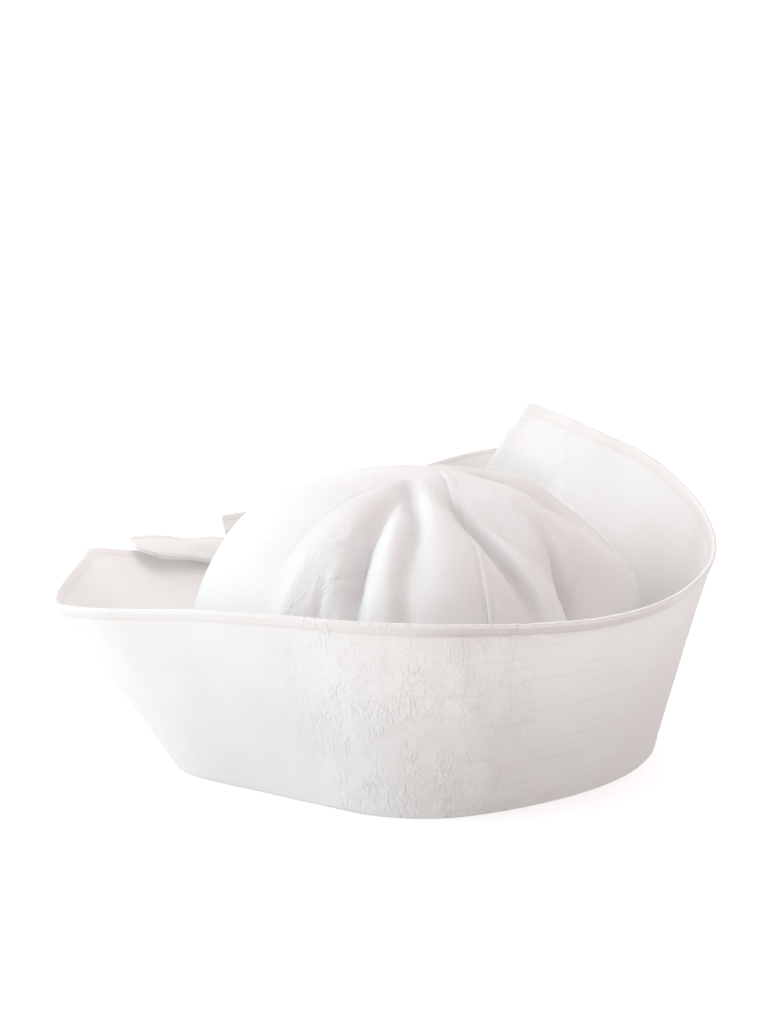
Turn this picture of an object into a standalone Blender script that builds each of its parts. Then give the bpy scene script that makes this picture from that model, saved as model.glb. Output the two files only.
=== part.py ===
"""White cotton sailor cap: a puffed crown of six gores in a wide turned-up brim, slit at the back.

The frame has +X to the right of the cap's front view, -Y to its front and +Z up. The cap rests on
the fold of its brim. Azimuths are degrees from the front, positive towards +X. Lengths are metres.
"""

import math
from collections import namedtuple

import bmesh
import bpy
from mathutils import Vector

BASE_RADIUS = 0.096
BRIM_SLANT = 0.091
BRIM_LEG = 0.042
BRIM_WALL = 0.0019
FOLD_WIDTH = 0.0056
FOLD_EASE = 0.0011
SLIT_WIDTH = 0.012
DRIFT_POWER = 2.4

CROWN_RADIUS = 0.0976
CROWN_WALL = 0.0014
CROWN_SHIFT = 0.0055
BELLY_RISE = 0.006
CROWN_RISE = 0.070
GORE_PUFF = 0.0016
FOLD_DEPTH = 0.0105
FOLD_ENDS = 1.5
GORES = 6
FIRST_SEAM = 15.0
SEAM_GAP = 0.0004
APEX_OPENING = 0.0018

TIE_WIDTH = 0.021
TIE_WALL = 0.0016
TIE_TAPER = 0.011
LEFT_TIE_RISE = 18.0
TAPER_COLUMNS = 2
CROWN_SEAT_GAP = 0.0007
TIE_SEAT_GAP = 0.0008

BRIM_SEGMENTS = 72
WALL_ROWS = 7
LEG_ROWS = 2
GORE_COLUMNS = 16
GORE_ROWS = 11
TUCK_ROWS = 2
TIE_COLUMNS = 16

# How far apart, as a share of the wall and in degrees, the points lie that give a direction on the brim.
UP_REACH = 0.02
TURN_REACH = 1.0

# The brim round the cap: base is the fold's radius as a share of BASE_RADIUS, fold its width as a share
# of FOLD_WIDTH, lean the wall's angle from the vertical, and slant and drift, as shares of BRIM_SLANT,
# the wall's length and its sideways pull at the rim. BRIM_LEG is the height of the inner leg where the
# wall has its full length once, and the leg is shorter where the wall is longer.
BrimRow = namedtuple("BrimRow", "azimuth base fold lean slant drift")
BRIM = (
    BrimRow(-180, 0.98, 1.0, 64, 1.00, 0.00),
    BrimRow(-160, 0.98, 1.0, 62, 1.00, 0.00),
    BrimRow(-148, 0.99, 1.0, 60, 1.00, 0.00),
    BrimRow(-132, 1.00, 1.0, 53, 1.00, 0.00),
    BrimRow(-118, 1.01, 1.0, 43, 0.99, 0.00),
    BrimRow(-108, 1.03, 1.0, 35, 0.97, 0.00),
    BrimRow(-98, 1.04, 1.3, 29, 0.96, 0.00),
    BrimRow(-88, 1.06, 1.8, 28, 0.96, 0.00),
    BrimRow(-76, 1.07, 2.0, 34, 0.96, 0.00),
    BrimRow(-68, 1.05, 1.7, 32, 0.97, 0.00),
    BrimRow(-57, 0.96, 1.0, 28, 0.98, 0.00),
    BrimRow(-45, 0.90, 1.0, 24, 0.99, 0.00),
    BrimRow(-28, 0.89, 1.0, 21, 1.00, 0.00),
    BrimRow(-12, 0.94, 1.0, 19, 1.00, 0.00),
    BrimRow(4, 0.95, 1.0, 19, 1.00, 0.00),
    BrimRow(18, 0.92, 1.0, 21, 1.00, 0.00),
    BrimRow(32, 0.90, 1.0, 23, 1.00, 0.00),
    BrimRow(50, 0.91, 1.0, 22, 1.00, 0.00),
    BrimRow(70, 0.95, 1.1, 18, 1.01, 0.00),
    BrimRow(90, 1.00, 1.3, 14, 1.03, 0.00),
    BrimRow(104, 1.01, 1.3, 14, 1.07, 0.00),
    BrimRow(118, 1.01, 1.3, 17, 1.12, 0.00),
    BrimRow(135, 1.01, 1.3, 18, 1.22, -0.06),
    BrimRow(150, 1.00, 1.2, 17, 1.28, -0.17),
    BrimRow(165, 0.98, 1.0, 18, 1.33, -0.35),
    BrimRow(180, 0.98, 1.0, 20, 1.39, -0.49),
)

# The crown round the cap: belly is its widest radius as a share of CROWN_RADIUS, and roundness is the
# power of its shoulder, 2 for a round one and more for a square one.
CrownRow = namedtuple("CrownRow", "azimuth belly roundness")
CROWN = (
    CrownRow(-180, 0.93, 1.6),
    CrownRow(-140, 0.95, 1.75),
    CrownRow(-100, 0.975, 2.3),
    CrownRow(-50, 0.985, 2.4),
    CrownRow(0, 0.97, 2.2),
    CrownRow(60, 0.945, 2.1),
    CrownRow(100, 0.915, 2.05),
    CrownRow(140, 0.92, 1.75),
    CrownRow(180, 0.93, 1.6),
)

# The crown's folds. top and foot are the azimuths of a fold's two ends, and bend is how soon the fold
# turns to its foot, 1 for a straight one. left and right are its half widths on its two sides, as
# shares of CROWN_RADIUS, and depth is a share of FOLD_DEPTH. It runs from start to end, from 0 at the
# apex to 1 at the belly, and is deepest at the share deepest of that way.
FoldRow = namedtuple("FoldRow", "top foot bend left right depth deepest start end")
FOLDS = (
    FoldRow(-26, -14, 1.0, 0.075, 0.060, 0.70, 0.42, 0.09, 1.20),
    FoldRow(-29, -24, 1.0, 0.110, 0.090, 0.45, 0.62, 0.34, 1.20),
    FoldRow(-28, -3, 4.0, 0.055, 0.070, 0.36, 0.30, 0.09, 0.98),
    FoldRow(12, 43, 2.4, 0.085, 0.110, 0.74, 0.42, 0.08, 0.96),
    FoldRow(50, 38, 1.0, 0.065, 0.280, 0.55, 0.55, 0.28, 1.15),
    FoldRow(84, 70, 0.6, 0.075, 0.140, 0.66, 0.50, 0.05, 0.66),
    FoldRow(96, 92, 1.0, 0.200, 0.240, 0.60, 0.50, 0.28, 0.80),
    FoldRow(-92, -88, 1.0, 0.250, 0.250, 0.24, 0.50, 0.50, 1.05),
    FoldRow(-165, -155, 1.0, 0.140, 0.140, 0.60, 0.40, 0.10, 1.00),
    FoldRow(150, 135, 1.0, 0.140, 0.140, 0.60, 0.40, 0.12, 1.00),
)

# The left tie lies over the rim: up is its centre's place up the brim's wall, lift its height off the
# wall as a share of TIE_WIDTH, and turn how far it has turned from the wall's slope to the level.
LeftTieRow = namedtuple("LeftTieRow", "azimuth up lift turn")
LEFT_TIE = (
    LeftTieRow(-172, 0.86, 0.00, 0.0),
    LeftTieRow(-162, 0.90, 0.02, 0.2),
    LeftTieRow(-151, 0.95, 0.04, 0.6),
    LeftTieRow(-140, 0.98, 0.05, 1.0),
    LeftTieRow(-129, 0.97, 0.05, 1.0),
)

# The right tie is sewn outside the brim's other end: up is its centre's place up the brim's wall.
SewnRow = namedtuple("SewnRow", "azimuth up")
RIGHT_TIE_SEAT = (
    SewnRow(158, 0.71),
    SewnRow(168, 0.73),
    SewnRow(178, 0.755),
)

# From there it runs free behind the crown: out is its distance from the axis as a share of BASE_RADIUS,
# and height that of its centre as a share of BRIM_SLANT.
FreeRow = namedtuple("FreeRow", "azimuth out height")
RIGHT_TIE = (
    FreeRow(-170, 1.13, 0.865),
    FreeRow(-148, 1.05, 0.804),
    FreeRow(-126, 1.10, 0.804),
)


def outward(azimuth):
    """The level direction from the axis at this azimuth."""
    angle = math.radians(azimuth)
    return Vector((math.sin(angle), -math.cos(angle), 0.0))


def sideways(azimuth):
    """The level direction in which the azimuth grows."""
    angle = math.radians(azimuth)
    return Vector((math.cos(angle), math.sin(angle), 0.0))


def read_smoothly(rows, column, azimuth):
    """The value of a table's column at an azimuth, on a smooth curve through its rows."""
    place = [row.azimuth for row in rows]
    value = [getattr(row, column) for row in rows]
    last = len(rows) - 1
    i = max(k for k in range(last) if place[k] <= azimuth or k == 0)
    step = place[i + 1] - place[i]
    share = (azimuth - place[i]) / step

    def slope(k):
        before, after = max(k - 1, 0), min(k + 1, last)
        return (value[after] - value[before]) / (place[after] - place[before])

    rise = value[i + 1] - value[i]
    start, end = slope(i) * step, slope(i + 1) * step
    bend = (start - rise) * (1 - share) - (end - rise) * share
    return value[i] + rise * share + share * (1 - share) * bend


def curve_through(points, share):
    """A point on a smooth curve through evenly weighted points, at a share from 0 to 1."""
    place = share * (len(points) - 1)
    i = min(int(place), len(points) - 2)
    t = place - i
    before = points[max(i - 1, 0)]
    after = points[min(i + 2, len(points) - 1)]
    start = (points[i + 1] - before) / 2
    end = (after - points[i]) / 2
    rise = points[i + 1] - points[i]
    bend = (start - rise) * (1 - t) - (end - rise) * t
    return points[i] + rise * t + bend * t * (1 - t)


def fold_radius(azimuth):
    """The outer radius of the fold that the cap rests on."""
    return BASE_RADIUS * read_smoothly(BRIM, "base", azimuth)


def leg_radius(azimuth):
    """The radius of the brim's inner leg on the side of the head."""
    return fold_radius(azimuth) - FOLD_WIDTH * read_smoothly(BRIM, "fold", azimuth)


def leg_height(azimuth):
    """The height at which the brim's inner leg ends and the crown is sewn to it."""
    return BRIM_LEG + BRIM_SLANT * (1 - read_smoothly(BRIM, "slant", azimuth))


def wall_point(azimuth, up):
    """A point on the outside of the brim's turned-up wall, from 0 at the fold to 1 at the rim."""
    slant = BRIM_SLANT * read_smoothly(BRIM, "slant", azimuth)
    lean = math.radians(read_smoothly(BRIM, "lean", azimuth))
    drift = BRIM_SLANT * read_smoothly(BRIM, "drift", azimuth)
    radius = fold_radius(azimuth) + slant * math.sin(lean) * up
    height = slant * math.cos(lean) * up
    pull = drift * up**DRIFT_POWER
    return outward(azimuth) * radius + sideways(azimuth) * pull + Vector((0, 0, height))


def wall_slope(azimuth, up):
    """The unit direction up the brim's wall."""
    return (wall_point(azimuth, up + UP_REACH) - wall_point(azimuth, up - UP_REACH)).normalized()


def wall_inward(azimuth, up):
    """The unit normal of the brim's wall that points to the crown."""
    along = wall_point(azimuth + TURN_REACH, up) - wall_point(azimuth - TURN_REACH, up)
    return wall_slope(azimuth, up).cross(along).normalized()


def brim_section(azimuth):
    """The brim's outer skin at one azimuth: down the inner leg, across the fold and up the wall."""
    out = outward(azimuth)
    base = fold_radius(azimuth)
    inner = leg_radius(azimuth)
    leg = leg_height(azimuth)
    rise = [leg + (FOLD_EASE - leg) * k / LEG_ROWS for k in range(LEG_ROWS + 1)]
    points = [out * inner + Vector((0, 0, height)) for height in rise]
    points.append(out * (inner + FOLD_EASE))
    points.append(out * (base - FOLD_EASE))
    first = FOLD_EASE / BRIM_SLANT
    for k in range(WALL_ROWS + 1):
        points.append(wall_point(azimuth, first + (1 - first) * k / WALL_ROWS))
    return points


def fold_dent(azimuth, down):
    """How far the crown's folds and the swell of its gores move its skin inwards."""
    dent = 0.0
    for fold in FOLDS:
        share = (down - fold.start) / (fold.end - fold.start)
        if not 0 < share < 1:
            continue
        centre = fold.foot + (fold.top - fold.foot) * (1 - share) ** fold.bend
        turn = math.radians((azimuth - centre + 180) % 360 - 180)
        off = turn * math.sin(min(down, 1) * math.pi / 2)
        width = fold.left if off < 0 else fold.right
        along = math.sin(math.pi * share ** (math.log(0.5) / math.log(fold.deepest))) ** FOLD_ENDS
        dent += fold.depth * FOLD_DEPTH * along * math.exp(-((off / width) ** 2))
    across = ((azimuth - FIRST_SEAM) * GORES / 360) % 1
    swell = GORE_PUFF * (1 - (2 * across - 1) ** 2) * math.sin(math.pi * min(down, 1))
    return dent - swell


def crown_point(azimuth, down):
    """A point on the crown's skin: 0 is the apex, 1 the belly and 2 the seam on the brim's inner leg."""
    turn = (azimuth + 180) % 360 - 180
    belly = CROWN_RADIUS * read_smoothly(CROWN, "belly", turn)
    belly_height = BRIM_LEG + BELLY_RISE
    power = 2 / read_smoothly(CROWN, "roundness", turn)
    if down <= 1:
        angle = down * math.pi / 2
        radius = belly * math.sin(angle) ** power
        height = belly_height + CROWN_RISE * max(math.cos(angle), 0) ** power
    else:
        tuck = down - 1
        angle = math.pi / 2
        seam_radius = leg_radius(turn) + BRIM_WALL
        seam_height = leg_height(turn) + CROWN_SEAT_GAP
        radius = belly + (seam_radius - belly) * tuck**2
        height = belly_height + (seam_height - belly_height) * tuck
    inward = outward(azimuth) * -math.sin(angle) - Vector((0, 0, math.cos(angle)))
    shift = Vector((CROWN_SHIFT * max(1 - down, 0), 0, 0))
    skin = outward(azimuth) * radius + Vector((0, 0, height)) + shift
    fade = 1 - max(down - 1, 0) ** 2
    return skin + inward * fold_dent(turn, down) * fade


def make_material(name, colour, roughness):
    material = bpy.data.materials.new(name)
    material.use_nodes = True
    shader = material.node_tree.nodes["Principled BSDF"]
    shader.inputs["Base Color"].default_value = (*colour, 1)
    shader.inputs["Roughness"].default_value = roughness
    shader.inputs["Metallic"].default_value = 0
    return material


def make_cloth(name, columns, rows, place, wall, material):
    """A cloth wall: a grid whose points place(column, row) sets, with its thickness on the inner side."""
    grid = bmesh.new()
    bmesh.ops.create_grid(grid, x_segments=columns, y_segments=rows, size=0.5)
    for vertex in grid.verts:
        across = round((vertex.co.x + 0.5) * columns)
        along = round((vertex.co.y + 0.5) * rows)
        vertex.co = place(across, along)
    mesh = bpy.data.meshes.new(name)
    grid.to_mesh(mesh)
    grid.free()
    mesh.shade_smooth()
    mesh.materials.append(material)
    cloth = bpy.data.objects.new(name, mesh)
    solidify = cloth.modifiers.new("Wall", "SOLIDIFY")
    solidify.thickness = wall
    solidify.offset = -1
    solidify.use_even_offset = True
    return cloth


def make_brim(material):
    """The turned-up brim, open at the slit."""
    half_slit = math.degrees(SLIT_WIDTH / 2 / fold_radius(180))
    first = -180 + half_slit
    turn = (360 - 2 * half_slit) / BRIM_SEGMENTS
    sections = [brim_section(first + turn * k) for k in range(BRIM_SEGMENTS + 1)]
    rows = len(sections[0]) - 1
    return make_cloth(
        "brim", BRIM_SEGMENTS, rows, lambda k, row: sections[k][row], BRIM_WALL, material
    )


def make_gore(index, material):
    """One gore of the crown, from its opening at the apex down to the brim's inner leg."""
    seam = FIRST_SEAM + index * 360 / GORES
    roundness = read_smoothly(CROWN, "roundness", 0)
    apex = (APEX_OPENING / CROWN_RADIUS) ** (roundness / 2) * 2 / math.pi
    downs = [apex + (1 - apex) * row / GORE_ROWS for row in range(GORE_ROWS + 1)]
    downs += [1 + (row + 1) / TUCK_ROWS for row in range(TUCK_ROWS)]
    downs.reverse()

    def place(column, row):
        azimuth = seam + 360 / GORES * column / GORE_COLUMNS
        point = crown_point(azimuth, downs[row])
        side = {0: 1, GORE_COLUMNS: -1}.get(column, 0)
        return point + sideways(azimuth) * side * SEAM_GAP / 2

    rows = len(downs) - 1
    return make_cloth(f"crown_gore_{index + 1}", GORE_COLUMNS, rows, place, CROWN_WALL, material)


def tie_strap(name, edges, point, material):
    """A flat tie along its lower, middle and upper edge, its free end cut to a point on one of them."""
    reach = 0.5 / TIE_COLUMNS

    def place(column, row):
        share = column / TIE_COLUMNS
        before = curve_through(edges[1], max(share - reach, 0))
        along = (curve_through(edges[1], min(share + reach, 1)) - before).normalized()
        past = max(column - TIE_COLUMNS + TAPER_COLUMNS, 0) / TAPER_COLUMNS
        cut = TIE_TAPER * abs(row - point) / max(point, 2 - point) * past
        return curve_through(edges[row], share) - along * cut

    return make_cloth(name, TIE_COLUMNS, 2, place, TIE_WALL, material)


def make_left_tie(material):
    """The tie sewn to the brim's left end, laid over the rim with its end outside."""
    edges = ([], [], [])
    level = math.radians(LEFT_TIE_RISE)
    for row in LEFT_TIE:
        flat = outward(row.azimuth) * math.cos(level) + Vector((0, 0, math.sin(level)))
        across = wall_slope(row.azimuth, 1).lerp(flat, row.turn).normalized()
        off = BRIM_WALL + TIE_SEAT_GAP + row.lift * TIE_WIDTH
        centre = wall_point(row.azimuth, row.up) + wall_inward(row.azimuth, 1) * off
        for side, edge in enumerate(edges):
            edge.append(centre + across * (side - 1) * TIE_WIDTH / 2)
    return tie_strap("tie_left", edges, 1, material)


def make_right_tie(material):
    """The tie sewn outside the brim's right end, carried behind the crown."""
    edges = ([], [], [])
    for row in RIGHT_TIE_SEAT:
        slant = BRIM_SLANT * read_smoothly(BRIM, "slant", row.azimuth)
        off = TIE_SEAT_GAP + TIE_WALL
        for side, edge in enumerate(edges):
            up = row.up + (side - 1) * TIE_WIDTH / 2 / slant
            edge.append(wall_point(row.azimuth, up) - wall_inward(row.azimuth, up) * off)
    for row in RIGHT_TIE:
        centre = outward(row.azimuth) * row.out * BASE_RADIUS + Vector((0, 0, row.height * BRIM_SLANT))
        for side, edge in enumerate(edges):
            edge.append(centre + Vector((0, 0, (side - 1) * TIE_WIDTH / 2)))
    return tie_strap("tie_right", edges, 2, material)


def centre_over_floor(parts, root):
    """Moves the root so that the middle of the whole cap's outline is at the origin."""
    bpy.context.view_layer.update()
    graph = bpy.context.evaluated_depsgraph_get()
    corners = []
    for part in parts:
        evaluated = part.evaluated_get(graph)
        corners += [evaluated.matrix_world @ Vector(corner) for corner in evaluated.bound_box]
    for axis in (0, 1):
        low = min(corner[axis] for corner in corners)
        high = max(corner[axis] for corner in corners)
        root.location[axis] = -(low + high) / 2


def main():
    for old in list(bpy.data.objects):
        bpy.data.objects.remove(old, do_unlink=True)
    quilted = make_material("quilted_cotton", (0.90, 0.885, 0.875), 0.9)
    plain = make_material("crown_cotton", (0.92, 0.91, 0.90), 0.9)
    tape = make_material("tie_cotton", (0.90, 0.87, 0.82), 0.88)
    cap = bpy.data.collections.new("sailor_cap")
    bpy.context.scene.collection.children.link(cap)
    root = bpy.data.objects.new("sailor_cap_root", None)
    cap.objects.link(root)
    parts = [make_brim(quilted)]
    parts += [make_gore(index, plain) for index in range(GORES)]
    parts += [make_left_tie(tape), make_right_tie(tape)]
    for part in parts:
        cap.objects.link(part)
        part.parent = root
    centre_over_floor(parts, root)


main()
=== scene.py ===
# %% [markdown]
# # A white cotton sailor cap
#
# The cap has a puffed crown of six gores inside a wide quilted brim that is turned up all round and
# slit at the back. Two cream tapes are sewn to the brim's ends. This lesson dresses the solid model
# with fine cloth, cotton materials, light and a camera. First the model is loaded and measured.

import math
from collections import namedtuple

import bmesh
import bpy
import numpy as np
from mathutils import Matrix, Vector, noise


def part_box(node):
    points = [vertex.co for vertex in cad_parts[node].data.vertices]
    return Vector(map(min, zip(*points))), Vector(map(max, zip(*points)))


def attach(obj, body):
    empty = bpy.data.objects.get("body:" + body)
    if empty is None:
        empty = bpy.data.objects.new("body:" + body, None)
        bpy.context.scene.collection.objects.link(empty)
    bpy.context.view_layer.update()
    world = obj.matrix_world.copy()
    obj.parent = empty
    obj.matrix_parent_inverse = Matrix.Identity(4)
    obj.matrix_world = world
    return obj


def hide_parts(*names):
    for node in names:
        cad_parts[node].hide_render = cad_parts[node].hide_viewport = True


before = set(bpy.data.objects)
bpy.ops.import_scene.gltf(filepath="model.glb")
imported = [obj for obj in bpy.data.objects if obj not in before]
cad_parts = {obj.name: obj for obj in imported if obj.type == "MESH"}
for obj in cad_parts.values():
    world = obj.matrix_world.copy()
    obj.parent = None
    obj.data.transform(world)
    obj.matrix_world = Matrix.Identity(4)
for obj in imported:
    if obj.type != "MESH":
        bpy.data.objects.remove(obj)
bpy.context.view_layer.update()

# %% [markdown]
# ## Sizes
#
# The sizes are those of the solid model, in metres, so both keep one form. Azimuths are degrees from
# the cap's front, growing to the right in the photo.

# %% Sizes of the cap
BASE_RADIUS = 0.096
BRIM_SLANT = 0.091
BRIM_LEG = 0.042
BRIM_WALL = 0.0019
FOLD_WIDTH = 0.0056
FOLD_EASE = 0.0011
SLIT_WIDTH = 0.012
DRIFT_POWER = 2.4
CROWN_RADIUS = 0.0976
CROWN_WALL = 0.0014
CROWN_SHIFT = 0.0055
BELLY_RISE = 0.006
CROWN_RISE = 0.070
GORE_PUFF = 0.0016
FOLD_DEPTH = 0.0105
FOLD_ENDS = 1.5
GORES = 6
FIRST_SEAM = 15.0
TIE_WIDTH = 0.021
TIE_WALL = 0.0016
TIE_TAPER = 0.011
TIE_ROUND = 1.5
LEFT_TIE_RISE = 18.0
CROWN_SEAT_GAP = 0.0007
TIE_SEAT_GAP = 0.0008

print("brim cloth", BRIM_SLANT, "m up from the fold, crown", CROWN_RADIUS, "m from its axis")

# %% [markdown]
# ## Tables
#
# A real cap is soft: its left end lies flat behind and its right end stands up to a peak. It could be
# sculpted. Short tables, with shares of the sizes above, keep the form of the solid model.

# %% The brim and the crown round the cap
BrimRow = namedtuple("BrimRow", "azimuth base fold lean slant drift")
BRIM = [BrimRow(*row) for row in (
    (-180, 0.98, 1.0, 64, 1.00, 0.00),
    (-160, 0.98, 1.0, 62, 1.00, 0.00),
    (-148, 0.99, 1.0, 60, 1.00, 0.00),
    (-132, 1.00, 1.0, 53, 1.00, 0.00),
    (-118, 1.01, 1.0, 43, 0.99, 0.00),
    (-108, 1.03, 1.0, 35, 0.97, 0.00),
    (-98, 1.04, 1.3, 29, 0.96, 0.00),
    (-88, 1.06, 1.8, 28, 0.96, 0.00),
    (-76, 1.07, 2.0, 34, 0.96, 0.00),
    (-68, 1.05, 1.7, 32, 0.97, 0.00),
    (-57, 0.96, 1.0, 28, 0.98, 0.00),
    (-45, 0.90, 1.0, 24, 0.99, 0.00),
    (-28, 0.89, 1.0, 21, 1.00, 0.00),
    (-12, 0.94, 1.0, 19, 1.00, 0.00),
    (4, 0.95, 1.0, 19, 1.00, 0.00),
    (18, 0.92, 1.0, 21, 1.00, 0.00),
    (32, 0.90, 1.0, 23, 1.00, 0.00),
    (50, 0.91, 1.0, 22, 1.00, 0.00),
    (70, 0.95, 1.1, 18, 1.01, 0.00),
    (90, 1.00, 1.3, 14, 1.03, 0.00),
    (104, 1.01, 1.3, 14, 1.07, 0.00),
    (118, 1.01, 1.3, 17, 1.12, 0.00),
    (135, 1.01, 1.3, 18, 1.22, -0.06),
    (150, 1.00, 1.2, 17, 1.28, -0.17),
    (165, 0.98, 1.0, 18, 1.33, -0.35),
    (180, 0.98, 1.0, 20, 1.39, -0.49),
)]

CrownRow = namedtuple("CrownRow", "azimuth belly roundness")
CROWN = [CrownRow(*row) for row in (
    (-180, 0.93, 1.6),
    (-140, 0.95, 1.75),
    (-100, 0.975, 2.3),
    (-50, 0.985, 2.4),
    (0, 0.97, 2.2),
    (60, 0.945, 2.1),
    (100, 0.915, 2.05),
    (140, 0.92, 1.75),
    (180, 0.93, 1.6),
)]
print(len(BRIM), "brim rows and", len(CROWN), "crown rows")

# %% [markdown]
# ### Folds of the crown
#
# A cap that was packed flat keeps folds from its apex down the gores. Each row is one of them. The
# first table is the solid model's. The creases in the second lie inside those folds and sharpen them.

# %% The folds of the crown
FoldRow = namedtuple("FoldRow", "top foot bend left right depth deepest start end")
FOLDS = [FoldRow(*row) for row in (
    (-26, -14, 1.0, 0.075, 0.060, 0.70, 0.42, 0.09, 1.20),
    (-29, -24, 1.0, 0.110, 0.090, 0.45, 0.62, 0.34, 1.20),
    (-28, -3, 4.0, 0.055, 0.070, 0.36, 0.30, 0.09, 0.98),
    (12, 43, 2.4, 0.085, 0.110, 0.74, 0.42, 0.08, 0.96),
    (50, 38, 1.0, 0.065, 0.280, 0.55, 0.55, 0.28, 1.15),
    (84, 70, 0.6, 0.075, 0.140, 0.66, 0.50, 0.05, 0.66),
    (96, 92, 1.0, 0.200, 0.240, 0.60, 0.50, 0.28, 0.80),
    (-92, -88, 1.0, 0.250, 0.250, 0.24, 0.50, 0.50, 1.05),
    (-165, -155, 1.0, 0.140, 0.140, 0.60, 0.40, 0.10, 1.00),
    (150, 135, 1.0, 0.140, 0.140, 0.60, 0.40, 0.12, 1.00),
)]
CREASES = [FoldRow(*row) for row in (
    (-28, -17, 1.4, 0.034, 0.022, 0.44, 0.42, 0.09, 1.20),
    (-33, -6, 4.0, 0.026, 0.032, 0.48, 0.28, 0.09, 0.62),
    (-22, -8, 1.0, 0.022, 0.026, -0.14, 0.60, 0.35, 1.20),
    (-12, 0, 1.0, 0.046, 0.040, 0.30, 0.55, 0.24, 1.20),
    (-38, -37, 1.0, 0.040, 0.040, -0.16, 0.60, 0.36, 1.10),
    (7, 32, 2.2, 0.066, 0.032, 1.05, 0.42, 0.09, 1.00),
    (20, 26, 1.0, 0.040, 0.060, 0.20, 0.60, 0.40, 1.15),
    (50, 38, 1.0, 0.026, 0.040, 0.50, 0.50, 0.28, 1.15),
    (40, 31, 1.0, 0.026, 0.026, -0.16, 0.60, 0.45, 1.15),
    (84, 74, 0.6, 0.034, 0.050, 0.52, 0.50, 0.02, 0.52),
    (70, 60, 1.0, 0.034, 0.044, 0.30, 0.50, 0.22, 0.50),
    (-31, -27, 1.0, 0.018, 0.020, 0.14, 0.50, 0.50, 1.10),
    (-112, -101, 1.0, 0.050, 0.050, 0.16, 0.50, 0.10, 0.95),
    (-164, -156, 1.0, 0.045, 0.045, 0.22, 0.50, 0.08, 1.00),
    (148, 136, 1.0, 0.045, 0.045, 0.22, 0.50, 0.08, 1.00),
    (-140, -128, 1.0, 0.050, 0.050, 0.12, 0.50, 0.30, 1.10),
    (172, 178, 1.0, 0.050, 0.050, 0.14, 0.50, 0.20, 1.00),
)]
print(len(FOLDS), "folds and", len(CREASES), "creases")

# %% [markdown]
# ### The ties
#
# Two cotton tapes are sewn to the brim's ends. A few points are enough for each. The right one is
# sewn on for its first rows and then runs free.

# %% The two ties
LeftTieRow = namedtuple("LeftTieRow", "azimuth up lift turn")
LEFT_TIE = [LeftTieRow(*row) for row in (
    (-172, 0.86, 0.00, 0.0),
    (-162, 0.90, 0.02, 0.2),
    (-151, 0.95, 0.04, 0.6),
    (-140, 0.98, 0.05, 1.0),
    (-129, 0.97, 0.05, 1.0),
)]

SewnRow = namedtuple("SewnRow", "azimuth up")
RIGHT_TIE_SEAT = [SewnRow(*row) for row in (
    (158, 0.71),
    (168, 0.73),
    (178, 0.755),
)]

FreeRow = namedtuple("FreeRow", "azimuth out height")
RIGHT_TIE = [FreeRow(*row) for row in (
    (-170, 1.13, 0.865),
    (-148, 1.05, 0.804),
    (-126, 1.10, 0.804),
)]
print(len(LEFT_TIE), "rows of the left tie and", len(RIGHT_TIE_SEAT) + len(RIGHT_TIE), "of the right")

# %% [markdown]
# ## Reading the tables
#
# Cloth has no corners between a table's rows. A value is read on a smooth curve through its column,
# and a tie is a smooth curve through its points. A function can be asked at any place, unlike a mesh.


# %% Curves and directions
def outward(azimuth):
    """The level direction from the axis at this azimuth."""
    angle = math.radians(azimuth)
    return Vector((math.sin(angle), -math.cos(angle), 0.0))


def sideways(azimuth):
    """The level direction in which the azimuth grows."""
    angle = math.radians(azimuth)
    return Vector((math.cos(angle), math.sin(angle), 0.0))


def read_smoothly(rows, column, azimuth):
    """The value of a table's column at an azimuth, on a smooth curve through its rows."""
    place = [row.azimuth for row in rows]
    value = [getattr(row, column) for row in rows]
    last = len(rows) - 1
    i = max(k for k in range(last) if place[k] <= azimuth or k == 0)
    step = place[i + 1] - place[i]
    share = (azimuth - place[i]) / step

    def slope(k):
        before, after = max(k - 1, 0), min(k + 1, last)
        return (value[after] - value[before]) / (place[after] - place[before])

    rise = value[i + 1] - value[i]
    start, end = slope(i) * step, slope(i + 1) * step
    bend = (start - rise) * (1 - share) - (end - rise) * share
    return value[i] + rise * share + share * (1 - share) * bend


def curve_through(points, share):
    """A point on a smooth curve through evenly weighted points, at a share from 0 to 1."""
    place = share * (len(points) - 1)
    i = min(int(place), len(points) - 2)
    t = place - i
    before = points[max(i - 1, 0)]
    after = points[min(i + 2, len(points) - 1)]
    start = (points[i + 1] - before) / 2
    end = (after - points[i]) / 2
    rise = points[i + 1] - points[i]
    bend = (start - rise) * (1 - t) - (end - rise) * t
    return points[i] + rise * t + bend * t * (1 - t)


def fade(value, low, high):
    """0 below low, 1 above high and smooth between them."""
    share = min(max((value - low) / (high - low), 0), 1)
    return share * share * (3 - 2 * share)


lean_at_front = read_smoothly(BRIM, "lean", 0)
print("the brim leans out by", round(lean_at_front, 1), "degrees at the front")

# %% [markdown]
# ## The brim's surface
#
# The real brim is one band of quilted cotton, folded up round the cap. It could be a strip bent by
# modifiers. Here it is made of sections that run down the short inner leg, round the fold and up the
# wall, so that hems and quilting stay parallel to the rim.


# %% Shape of the brim
def fold_radius(azimuth):
    return BASE_RADIUS * read_smoothly(BRIM, "base", azimuth)


def leg_radius(azimuth):
    return fold_radius(azimuth) - FOLD_WIDTH * read_smoothly(BRIM, "fold", azimuth)


def leg_height(azimuth):
    return BRIM_LEG + BRIM_SLANT * (1 - read_smoothly(BRIM, "slant", azimuth))


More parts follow.
